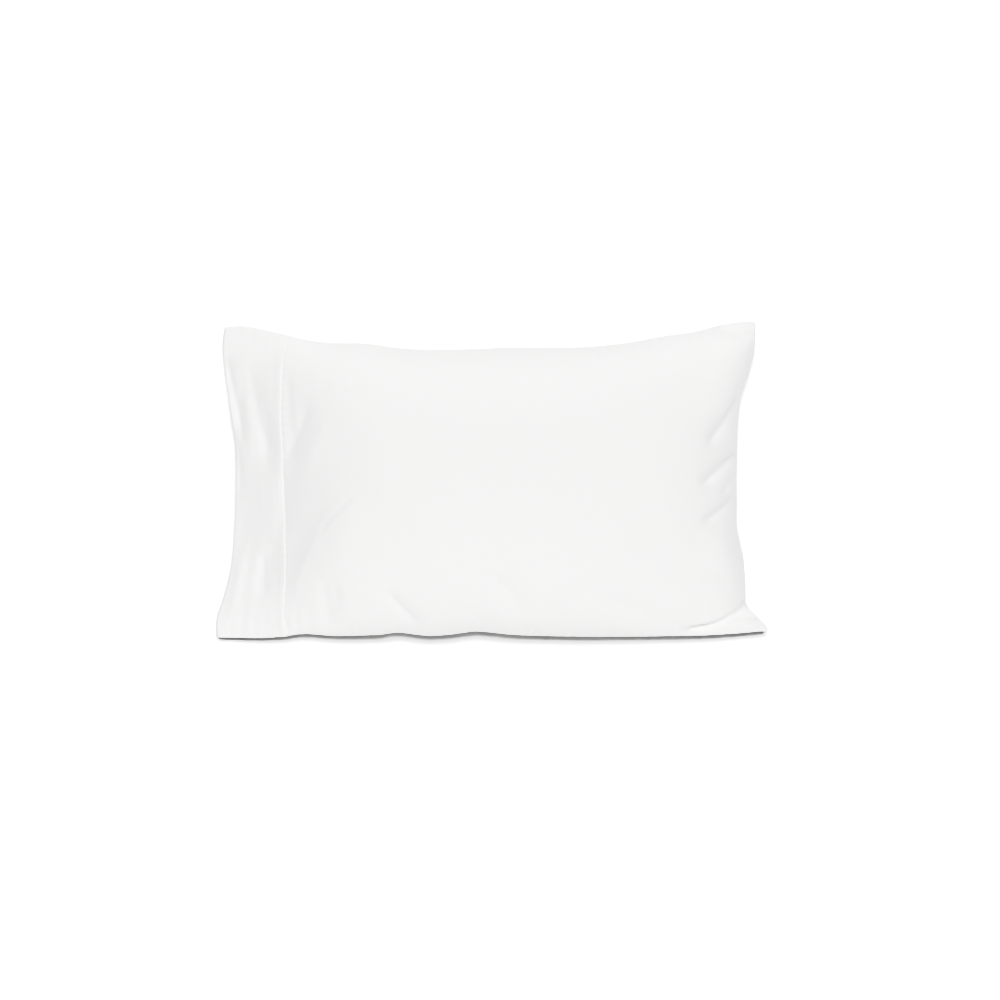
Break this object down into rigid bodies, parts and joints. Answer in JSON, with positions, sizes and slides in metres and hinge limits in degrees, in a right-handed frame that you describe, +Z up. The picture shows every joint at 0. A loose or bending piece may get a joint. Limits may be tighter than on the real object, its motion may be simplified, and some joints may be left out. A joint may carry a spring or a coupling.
{
  "type": "filled pillowcase",
  "caption": "Oblong white cotton pillowcase over a soft pillow, lying on its back, with drawn-in sides, an open hemmed end and a flat ear at one corner.",
  "frame": {"origin": "middle of the footprint, on the surface that the case lies on", "axes": "+X along the case from its open hem to its sewn end, +Y across it, +Z up out of its front face"},
  "size_m": [0.85, 0.486, 0.178],
  "materials": {
    "white_cotton": "plain woven, soft and matt"
  },
  "bodies": {
    "root": {"pillowcase": "white_cotton"}
  },
  "joints": []
}
